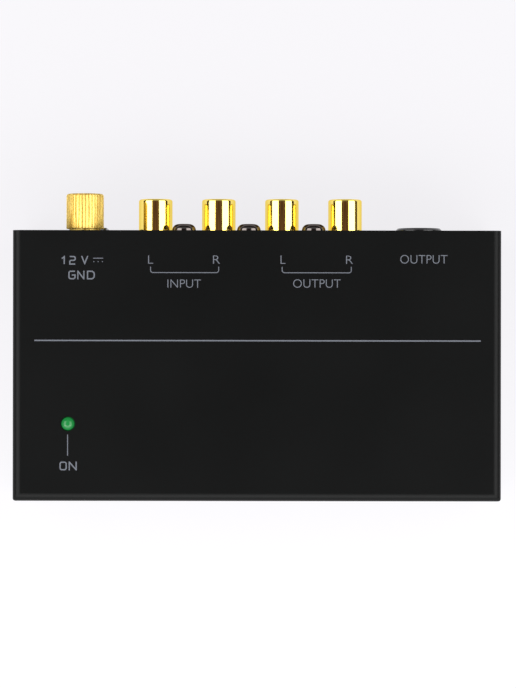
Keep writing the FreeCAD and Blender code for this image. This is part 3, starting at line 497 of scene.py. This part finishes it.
# The nut's face stands 0.02 mm off the washer, so that the two never share a plane
nut_start = nut_low.y + 0.02
radii = []
for rib in range(RIBS):
    depth = GROOVE_DEPTH * chance.uniform(0.7, 1.0)
    radii += [RIB_RADIUS, RIB_RADIUS, RIB_RADIUS - depth, RIB_RADIUS - depth]
turns = []
for rib in range(RIBS):
    groove = RIB_TURN * rib + RIB_TURN / 2 + chance.uniform(-0.35, 0.35)
    width = chance.uniform(0.5, 0.9)
    ridge = groove - RIB_TURN / 2
    turns += [ridge - CREST_HALF, ridge + CREST_HALF, groove - width, groove + width]
first = ring[:]


def shape_ring(verts, distance, shrink=0.0, radius=None):
    """Sets a ring of the nut at a distance, drawn in by shrink or at one even radius."""
    for vert, rib_radius, turn in zip(verts, radii, turns):
        reach = radius or rib_radius - shrink
        turn = math.radians(turn)
        vert.co = (nut_x + reach * math.sin(turn), distance, nut_z + reach * math.cos(turn))


def next_ring(verts, distance, shrink=0.0, radius=None):
    """Extrudes a ring of the nut to the next one and returns its points in the same order."""
    bm.edges.ensure_lookup_table()
    edges = [bm.edges.get((verts[i - 1], verts[i])) for i in range(len(verts))]
    made = bmesh.ops.extrude_edge_only(bm, edges=edges)["geom"]
    made = set(v for v in made if isinstance(v, bmesh.types.BMVert))
    ordered = []
    for vert in verts:
        ordered.append(next(e.other_vert(vert) for e in vert.link_edges if e.other_vert(vert) in made))
    shape_ring(ordered, distance, shrink, radius)
    return ordered


shape_ring(ring, nut_start, 0.03)
for distance, shrink, radius in (
    (nut_low.y + 0.1, 0.0, None), (nut_high.y - 0.45, 0.0, None), (nut_high.y - 0.12, 0.18, None),
    (nut_high.y, 0.45, None), (nut_high.y, 0, 2.7), (nut_high.y - 0.5, 0, BORE_RADIUS),
    (nut_start, 0, BORE_RADIUS),
):
    ring = next_ring(ring, distance, shrink, radius)
loops = [bm.edges.get((loop[i - 1], loop[i])) for loop in (first, ring) for i in range(len(loop))]
bmesh.ops.bridge_loops(bm, edges=loops)
bmesh.ops.recalc_face_normals(bm, faces=bm.faces)
finished("thumb_nut_ribbed", bm, "brass", "ground_nut", ["ground_thumb_nut"], 25)

# %% [markdown]
# ## Screws
# The screws that show are the three pan heads on the rear panel and the four low heads under the
# floor. A pan head is a flat cylinder whose upper edge is one big round, so the lathe gives it a
# large rounding. The cross recess is cut as a toolmaker would draw it: planes mark the cross on the
# head, the marked faces are pushed in, and the floor of the cross is drawn together a little.


# %% Cross-recess screw
def cross_screw(radius, height, length, rounding):
    """A screw along Z whose head stands above z = 0."""
    bm = lathe(
        [
            (0, -length, 0), (1.2, -length, 0), (1.45, 0.3 - length, 0), (1.45, 0, 0),
            (radius, 0, 0.15), (radius, height, rounding), (0, height, 0),
        ],
        72,
    )
    half, reach = 0.36, 1.45
    for normal in ((1, 0, 0), (0, 1, 0)):
        for offset in (-reach, -half, half, reach):
            cut = [f for f in bm.faces if f.calc_center_median().z > 0.5 * height]
            parts = set(cut) | {e for f in cut for e in f.edges} | {v for f in cut for v in f.verts}
            place = Vector(normal) * offset
            bmesh.ops.bisect_plane(bm, geom=list(parts), plane_co=place, plane_no=normal, dist=1e-5)
    cross = []
    for face in bm.faces:
        middle = face.calc_center_median()
        across, along = sorted((abs(middle.x), abs(middle.y)))
        if middle.z > 0.6 * height and across < half and along < reach:
            cross.append(face)
    made = bmesh.ops.extrude_face_region(bm, geom=cross)["geom"]
    bottom = [v for v in made if isinstance(v, bmesh.types.BMVert)]
    bmesh.ops.delete(bm, geom=cross, context="FACES_ONLY")
    bmesh.ops.translate(bm, verts=bottom, vec=(0, 0, -0.95))
    bmesh.ops.scale(bm, verts=bottom, vec=(0.75, 0.75, 1))
    bmesh.ops.recalc_face_normals(bm, faces=bm.faces)
    return bm


PAN_RADIUS = 2.95
CROSS_TURNS = (20, 65, 40)  # degrees at which the crosses happened to stop
screw_low, screw_high = box_mm("panel_screws")
screw_z = (screw_low.z + screw_high.z) / 2
pan = cross_screw(PAN_RADIUS, screw_high.y - panel, panel - screw_low.y, 1.6)
bm = bmesh.new()
pitch = (screw_high.x - screw_low.x - 2 * PAN_RADIUS) / 2
for i, degrees in enumerate(CROSS_TURNS):
    turn = TO_REAR @ Matrix.Rotation(math.radians(degrees), 3, "Z")
    add(bm, pan, (screw_low.x + PAN_RADIUS + i * pitch, panel, screw_z), turn)
finished("panel_pan_screws", bm, "dark_screw", "case", ["panel_screws"])

# %% Floor screws
HEAD_RADIUS = 2.75
low, high = box_mm("floor_screws")
floor_level = box_mm("base_chassis")[0].z
flat_head = cross_screw(HEAD_RADIUS, floor_level - low.z, high.z - floor_level, 0.7)
bm = bmesh.new()
for i, (x, y) in enumerate(((low.x, low.y), (high.x, low.y), (low.x, high.y), (high.x, high.y))):
    inward = (math.copysign(HEAD_RADIUS, -x), HEAD_RADIUS if y == low.y else -HEAD_RADIUS)
    turn = Matrix.Rotation(math.pi, 3, "X") @ Matrix.Rotation(math.radians(25 * i), 3, "Z")
    add(bm, flat_head, (x + inward[0], y + inward[1], floor_level), turn)
finished("floor_pan_screws", bm, "dark_screw", "case", ["floor_screws"])

# %% [markdown]
# ## Printed marks
# The marks are silk-screen ink: a thin grey film on the powder paint. Ink has a thickness of about
# two hundredths of a millimetre, so each mark is a very thin solid, not a picture. Letters come from
# a text object that is made into a mesh and fitted to its place. Lines and brackets are a wire,
# raised by the film's thickness and then given their width as a wall. A few square-cut letters and
# figures are drawn with such strokes as well. Only plain words for what a socket is are printed.

# %% Ink
material, tree, shader = new_finish("marking_ink_grey", Specular_IOR_Level=0.3)
grain = noise(tree, 0.25, 3.0, 0.6)
wear = noise(tree, 6.0, 2.0)
ink = blend_colours(tree, 0.5 * grain + 0.5 * wear, (0.056, 0.062, 0.074), (0.078, 0.083, 0.100))
Wire.feed(tree, shader.inputs["Base Color"], ink)
Wire.feed(tree, shader.inputs["Roughness"], 0.5 + 0.2 * grain)
finishes["ink"] = material

# %% Print
INK = 0.02  # thickness of the film
FINE = -0.035  # thins a letter's outline
STURDY = 0.01  # thickens it
STROKE = 0.31  # width of a letter that is drawn with strokes
top_level = box_mm("top_cover")[1].z
marks = bmesh.new()


def letters(words, left, right, bottom, top, weight=0.0):
    """Prints words so that they fill a box on the cover's top, in millimetres."""
    font = bpy.data.curves.new("words", "FONT")
    font.body = words
    font.size = 2.6
    font.offset = weight
    font.extrude = INK / 2
    font.resolution_u = 6
    holder = bpy.data.objects.new("words", font)
    mesh = bpy.data.meshes.new_from_object(holder)
    shape = bmesh.new()
    shape.from_mesh(mesh)
    bmesh.ops.remove_doubles(shape, verts=shape.verts, dist=0.0005)
    bmesh.ops.recalc_face_normals(shape, faces=shape.faces)
    xs = [v.co.x for v in shape.verts]
    ys = [v.co.y for v in shape.verts]
    wide = (right - left) / (max(xs) - min(xs))
    tall = (top - bottom) / (max(ys) - min(ys))
    bmesh.ops.translate(shape, verts=shape.verts, vec=(-min(xs), -min(ys), 0))
    bmesh.ops.scale(shape, verts=shape.verts, vec=(wide, tall, 1))
    add(marks, shape, (left, bottom, top_level + INK / 2))
    shape.free()
    bpy.data.objects.remove(holder)
    bpy.data.curves.remove(font)
    bpy.data.meshes.remove(mesh)


strokes = {}


def ruled(corners, width, closed=False):
    """Draws a line through corners (x, y, rounding) as a wall as high as the film."""
    shape = bmesh.new()
    verts = [shape.verts.new((x, y, 0)) for x, y, rounding in corners]
    for here, following in zip(verts, verts[1:]):
        shape.edges.new((here, following))
    if closed:
        shape.edges.new((verts[-1], verts[0]))
    for vert, (x, y, rounding) in zip(verts, corners):
        if rounding:
            bmesh.ops.bevel(
                shape, geom=[vert], offset=rounding, offset_type="OFFSET", segments=6,
                profile=0.5, affect="VERTICES", material=-1,
            )
    made = bmesh.ops.extrude_edge_only(shape, edges=shape.edges[:])["geom"]
    lifted = [v for v in made if isinstance(v, bmesh.types.BMVert)]
    bmesh.ops.translate(shape, verts=lifted, vec=(0, 0, INK))
    bmesh.ops.recalc_face_normals(shape, faces=shape.faces)
    add(strokes.setdefault(width, bmesh.new()), shape, (0, 0, top_level))
    shape.free()


def stroke_letter(letter, left, right, bottom, top, width):
    """Draws a capital or a figure with strokes, as an engraving machine does."""
    half = width / 2
    x0, x1, y0, y1 = left + half, right - half, bottom + half, top - half
    middle = (y0 + y1) / 2
    soft = 0.45
    paths = {
        "O": [(x0, y0, soft), (x1, y0, soft), (x1, y1, soft), (x0, y1, soft)],
        "D": [(x0, y0, 0), (x1, y0, 0.7), (x1, y1, 0.7), (x0, y1, 0)],
        "G": [
            (x1, y1, 0), (x0, y1, soft), (x0, y0, soft), (x1, y0, soft),
            (x1, middle, 0), (x1 - 0.8, middle, 0),
        ],
        "1": [(x0, y1 - 0.45, 0), (x1, y1, 0), (x1, y0, 0)],
        "2": [
            (x0, y1, 0), (x1, y1, 0.4), (x1, middle, 0.4), (x0, middle, 0.4), (x0, y0, 0), (x1, y0, 0),
        ],
    }
    ruled(paths[letter], width, letter in "OD")


# Each row is a mark and its left, right, bottom and top in millimetres
for words, left, right, bottom, top in (
    ("L", -26.7, -25.45, 20.5, 22.5), ("R", -10.8, -9.1, 20.5, 22.5),
    ("INPUT", -21.95, -13.75, 14.6, 16.6),
    ("L", 5.75, 6.95, 20.5, 22.5), ("R", 21.8, 23.5, 20.5, 22.5),
    ("OUTPUT", 8.85, 20.5, 14.65, 16.7),
    ("OUTPUT", 35.1, 46.65, 20.6, 22.7),
):
    letters(words, left, right, bottom, top, FINE)
for letter, left, right, bottom, top in (
    ("N", -44.05, -42.3, 16.6, 18.75), ("N", -46.1, -44.1, -30.2, -28.05),
    ("V", -43.15, -41.35, 20.2, 22.35),
):
    letters(letter, left, right, bottom, top, STURDY)
for letter, left, right, bottom, top in (
    ("1", -48.0, -47.1, 20.2, 22.3), ("2", -46.05, -44.4, 20.2, 22.35),
    ("G", -46.25, -44.45, 16.6, 18.75), ("D", -41.7, -39.75, 16.6, 18.75),
    ("O", -48.35, -46.55, -30.2, -28.05),
):
    stroke_letter(letter, left, right, bottom, top, STROKE)
for left, right in ((-26.1, -9.4), (6.15, 23.1)):
    ruled([(left, 19.75, 0), (left, 18.3, 0.6), (right, 18.3, 0.6), (right, 19.75, 0)], 0.2)
# The long line, the lamp's line, and the bar and three dashes of the direct-current sign
ruled([(-54.55, 1.63, 0), (54.84, 1.63, 0)], 0.32)
ruled([(-46.37, -21.45, 0), (-46.37, -26.6, 0)], 0.22)
ruled([(-40.15, 21.8, 0), (-37.75, 21.8, 0)], 0.18)
for middle in (-40.0, -38.95, -37.9):
    ruled([(middle - 0.11, 20.95, 0), (middle + 0.11, 20.95, 0)], 0.22)
for width, walls in strokes.items():
    mesh = bpy.data.meshes.new("walls")
    walls.to_mesh(mesh)
    walls.free()
    holder = bpy.data.objects.new("walls", mesh)
    bpy.context.scene.collection.objects.link(holder)
    wall = holder.modifiers.new("width", "SOLIDIFY")
    wall.thickness = width
    wall.offset = 0
    wall.use_even_offset = True
    bpy.context.view_layer.update()
    seen_solid = holder.evaluated_get(bpy.context.evaluated_depsgraph_get())
    solid = bpy.data.meshes.new_from_object(seen_solid)
    shape = bmesh.new()
    shape.from_mesh(solid)
    add(marks, shape)
    shape.free()
    bpy.data.objects.remove(holder)
    bpy.data.meshes.remove(mesh)
    bpy.data.meshes.remove(solid)
finished("printed_marks", marks, "ink", "case")

# %% [markdown]
# ## The floor
# A pale sheet, wide enough that its edge never shows. In the picture the object stands on a bright
# table with hardly any shadow, as on a lit table, so the sheet gives some light of its own, a
# little more towards the front. It is the same plain sheet for the camera and for reflections.

# %% Floor
FLOOR_LEVEL = -0.00005  # a hair under the feet
RAMP_SLOPE, RAMP_START = 5, 0.811  # where along Y the sheet's glow changes
bm = bmesh.new()
bmesh.ops.create_grid(bm, x_segments=1, y_segments=1, size=4.0)
bmesh.ops.translate(bm, verts=bm.verts, vec=(0, 0, FLOOR_LEVEL))
mesh = bpy.data.meshes.new("pale_floor")
bm.to_mesh(mesh)
bm.free()
floor = bpy.data.objects.new("pale_floor", mesh)
bpy.context.scene.collection.objects.link(floor)
material, tree, shader = new_finish("floor_pale", Roughness=0.9, Specular_IOR_Level=0.1)
shade = noise(tree, 900.0, 1.0)
sheet = blend_colours(tree, shade, (0.050, 0.050, 0.051), (0.056, 0.055, 0.057))
Wire.feed(tree, shader.inputs["Base Color"], sheet)
place = Wire.node(tree, "TexCoord", out="Object")
along = Wire.node(tree, "SeparateXYZ", {}, {"Vector": place}, "Y")
sheet_stops = [(0.30, (0.93, 0.925, 0.94)), (0.66, (0.86, 0.85, 0.875)), (1.0, (0.80, 0.79, 0.815))]
spot = RAMP_SLOPE * along + RAMP_START
lit = Wire.node(tree, "ValToRGB", {"stops": sheet_stops}, {"Fac": spot}, "Color")
Wire.feed(tree, shader.inputs["Emission Color"], lit)
shader.inputs["Emission Strength"].default_value = 1.0
mesh.materials.append(material)

# %% [markdown]
# ## Light
# Polished gold shows the room, so the room is what makes it look right. Two long soft boxes, one on
# each side, put the two white bands on every barrel. The ceiling over the camera is dark, which
# keeps the flat black top black and puts a brown band down the middle of each barrel. A dark strip
# low on the walls draws the fine line between the white band and the yellow edge. Towards the
# front the room is bright, which lights the rounded front bend. All this is seen in reflections;
# behind the object the camera sees one plain pale tone.

# %% Soft boxes and room
BOX_TILT = math.radians(47)
BOX_DISTANCE = 0.90
BOX_WIDTH, BOX_LENGTH = 0.74, 1.30
BOX_POWER = 12.5
for side in (-1, 1):
    lamp = bpy.data.lights.new("soft_box", "AREA")
    lamp.shape = "RECTANGLE"
    lamp.size = BOX_WIDTH
    lamp.size_y = BOX_LENGTH
    lamp.energy = BOX_POWER
    box = bpy.data.objects.new("soft_box", lamp)
    bpy.context.scene.collection.objects.link(box)
    away = Vector((side * math.sin(BOX_TILT), 0, math.cos(BOX_TILT)))
    box.location = away * BOX_DISTANCE
    box.rotation_euler = (0, side * BOX_TILT, 0)

world = bpy.data.worlds.new("studio")
bpy.context.scene.world = world
world.use_nodes = True
tree = world.node_tree
background = tree.nodes["Background"]
direction = Wire.node(tree, "TexCoord", out="Generated")
height = Wire.node(tree, "SeparateXYZ", {}, {"Vector": direction}, "Z")
to_rear = Wire.node(tree, "SeparateXYZ", {}, {"Vector": direction}, "Y")
side_stops = [
    (0.0, (0.05, 0.03, 0.02)), (0.36, (0.06, 0.035, 0.02)), (0.42, (0.40, 0.40, 0.41)),
    (0.86, (0.40, 0.40, 0.41)), (0.92, (0.055, 0.030, 0.030)), (0.965, (0.15, 0.085, 0.078)),
    (0.985, (0.06, 0.033, 0.034)), (1.0, (0.14, 0.080, 0.080)),
]
front_stops = [
    (0.0, (0.9, 0.9, 0.9)), (0.35, (2.0, 2.0, 2.0)), (0.60, (5.5, 5.5, 5.5)),
    (0.84, (4.0, 4.0, 4.0)), (0.97, (0.12, 0.07, 0.075)),
]
sides = Wire.node(tree, "ValToRGB", {"stops": side_stops}, {"Fac": height}, "Color")
front = Wire.node(tree, "ValToRGB", {"stops": front_stops}, {"Fac": height}, "Color")
facing_stops = [(0.2, (0, 0, 0)), (0.5, (1, 1, 1))]
facing = Wire.node(tree, "ValToRGB", {"stops": facing_stops}, {"Fac": 0 - to_rear}, "Color")
room = blend_colours(tree, facing, sides, front)
seen = Wire.node(tree, "LightPath", out="Is Camera Ray")
colour = blend_colours(tree, seen, room, (0.93, 0.925, 0.94))
Wire.feed(tree, background.inputs["Color"], colour)

# %% [markdown]
# ## Camera
# The picture was taken from straight above, from about 64 cm, with a long lens: the sides of the
# case hardly show. The camera is a fraction of a degree off square, as hand-held cameras are.

# %% Camera
LENS = 136.65
OFF_SQUARE = math.radians(0.09)
camera = bpy.data.objects.new("camera", bpy.data.cameras.new("camera"))
camera.data.lens = LENS
camera.data.sensor_width = 36.0
camera.data.sensor_fit = "AUTO"
camera.data.clip_start = 0.01
camera.data.clip_end = 20.0
camera.location = (0.00026, 0.00083, 0.669)
camera.rotation_euler = (0, 0, OFF_SQUARE)
bpy.context.scene.collection.objects.link(camera)
bpy.context.scene.camera = camera
bpy.context.scene.view_settings.view_transform = "Standard"
